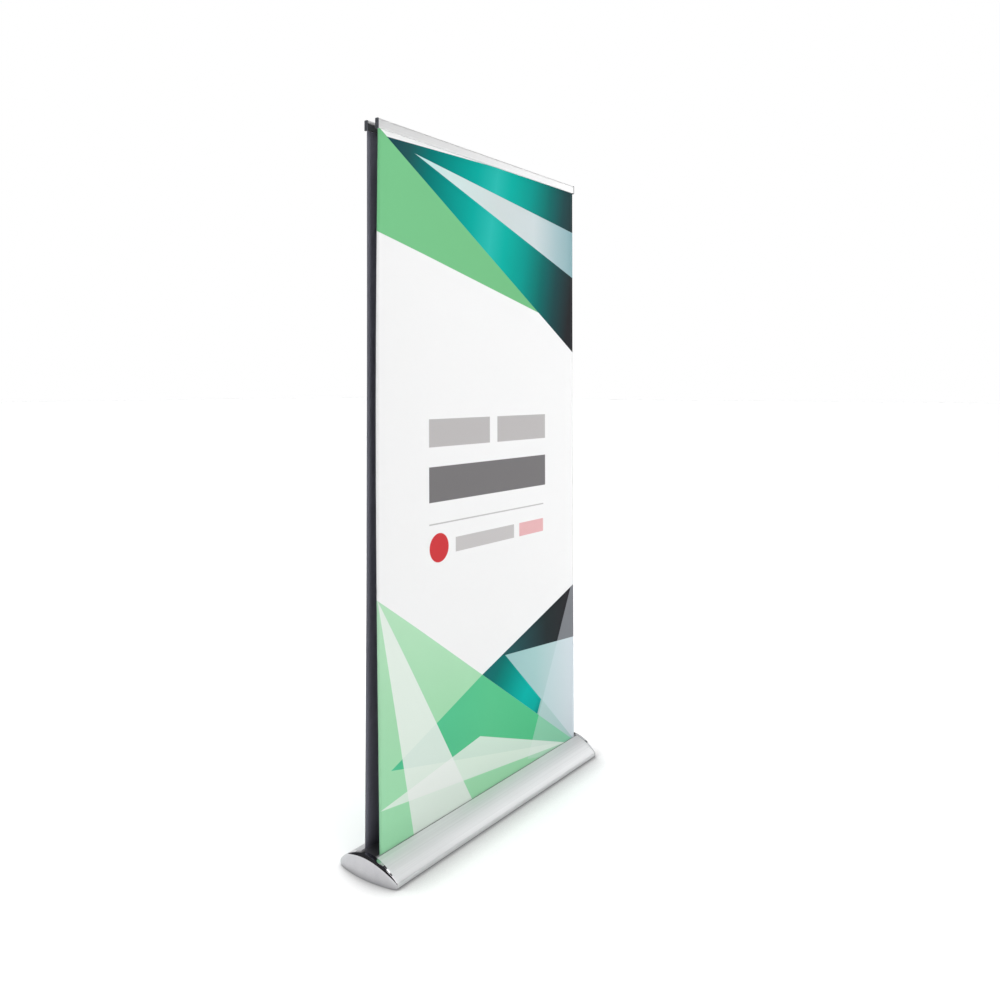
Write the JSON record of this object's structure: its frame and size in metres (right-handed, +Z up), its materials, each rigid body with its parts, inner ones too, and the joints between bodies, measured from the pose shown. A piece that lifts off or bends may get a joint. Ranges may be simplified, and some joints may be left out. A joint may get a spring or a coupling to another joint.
{
  "type": "double-sided roll-up banner stand",
  "caption": "Double-sided roll-up banner stand: two printed films rise from sprung rollers in a low lens-shaped base to snap rails on a telescopic pole.",
  "frame": {"origin": "on the floor under the middle of the base", "axes": "+Z up, X along the base's length (the banners' width), -Y towards the front banner"},
  "size_m": [1.066, 0.216, 2.0604],
  "materials": {
    "base_aluminium": "satin silver anodised",
    "rail_aluminium": "satin silver anodised",
    "pole_aluminium": "natural drawn tube",
    "cap_chrome": "mirror chrome-plated moulding",
    "steel": "zinc-plated",
    "black_plastic": "fine grained moulding",
    "grey_plastic": "smooth dark grey moulding",
    "foot_rubber": "matt, ribbed",
    "printed_film": "polyester film, satin laminate over a printed face, slate grey blockout back",
    "film_back": "slate grey blockout back of the film"
  },
  "bodies": {
    "base": {"base_tray": "base_aluminium", "pole_socket": "black_plastic", "left_end_plate": "steel", "left_end_cap": "cap_chrome", "socket_screw_left": "steel", "left_front_tray_screw": "steel", "left_front_cover_screw": "steel", "left_front_foot_pad": "foot_rubber", "left_rear_tray_screw": "steel", "left_rear_cover_screw": "steel", "left_rear_foot_pad": "foot_rubber", "right_end_plate": "steel", "right_end_cap": "cap_chrome", "socket_screw_right": "steel", "right_front_tray_screw": "steel", "right_front_cover_screw": "steel", "right_front_foot_pad": "foot_rubber", "right_rear_tray_screw": "steel", "right_rear_cover_screw": "steel", "right_rear_foot_pad": "foot_rubber", "front_cover": "base_aluminium", "front_slot_inner_lip": "black_plastic", "front_slot_outer_lip": "black_plastic", "front_spring_shaft": "steel", "front_torsion_spring": "steel", "front_banner": "printed_film", "rear_cover": "base_aluminium", "rear_slot_inner_lip": "black_plastic", "rear_slot_outer_lip": "black_plastic", "rear_spring_shaft": "steel", "rear_torsion_spring": "steel", "rear_banner": "printed_film", "pole_lower_tube": "pole_aluminium", "pole_lower_plug": "black_plastic"},
    "front_roller": {"front_roller_tube": "steel", "front_film_roll": "film_back", "front_idler_plug": "black_plastic", "front_spring_plug": "black_plastic"},
    "rear_roller": {"rear_roller_tube": "steel", "rear_film_roll": "film_back", "rear_idler_plug": "black_plastic", "rear_spring_plug": "black_plastic"},
    "pole_middle": {"pole_middle_tube": "pole_aluminium", "pole_middle_plug": "black_plastic"},
    "pole_upper": {"pole_upper_tube": "pole_aluminium", "pole_upper_plug": "black_plastic", "pole_head": "black_plastic", "front_rail_spine": "rail_aluminium", "rear_rail_spine": "rail_aluminium", "front_rail_left_cap": "grey_plastic", "front_rail_right_cap": "grey_plastic", "rear_rail_left_cap": "grey_plastic", "rear_rail_right_cap": "grey_plastic"},
    "lower_lock": {"lower_twist_lock": "black_plastic"},
    "upper_lock": {"upper_twist_lock": "black_plastic"},
    "front_jaw": {"front_rail_jaw": "rail_aluminium"},
    "rear_jaw": {"rear_rail_jaw": "rail_aluminium"}
  },
  "joints": [
    {"name": "pole_middle_slide", "type": "slide", "parent": "base", "child": "pole_middle", "axis": [0, 0, 1], "range_m": [-0.6, 0]},
    {"name": "pole_upper_slide", "type": "slide", "parent": "pole_middle", "child": "pole_upper", "axis": [0, 0, 1], "range_m": [-0.6, 0], "deforming": ["front_banner", "rear_banner"]},
    {"name": "lower_lock_turn", "type": "hinge", "parent": "base", "child": "lower_lock", "pos_m": [0, 0, 0.752], "axis": [0, 0, 1], "range_deg": [0, 90]},
    {"name": "upper_lock_turn", "type": "hinge", "parent": "pole_middle", "child": "upper_lock", "pos_m": [0, 0, 1.4], "axis": [0, 0, 1], "range_deg": [0, 90]},
    {"name": "front_roller_spin", "type": "hinge", "parent": "base", "child": "front_roller", "pos_m": [0, -0.047, 0.029], "axis": [1, 0, 0], "range_deg": [-3915, 0]},
    {"name": "rear_roller_spin", "type": "hinge", "parent": "base", "child": "rear_roller", "pos_m": [0, 0.047, 0.029], "axis": [1, 0, 0], "range_deg": [0, 3915]},
    {"name": "front_jaw_hinge", "type": "hinge", "parent": "pole_upper", "child": "front_jaw", "pos_m": [0, -0.0228, 2.057], "axis": [-1, 0, 0], "range_deg": [0, 60]},
    {"name": "rear_jaw_hinge", "type": "hinge", "parent": "pole_upper", "child": "rear_jaw", "pos_m": [0, 0.0228, 2.057], "axis": [1, 0, 0], "range_deg": [0, 60]}
  ],
  "couplings": [
    {"joint": "pole_middle_slide", "follows": "pole_upper_slide", "ratio": 1},
    {"joint": "front_roller_spin", "follows": "pole_upper_slide", "rad_per_m": 113.64},
    {"joint": "rear_roller_spin", "follows": "pole_upper_slide", "rad_per_m": -113.64}
  ]
}
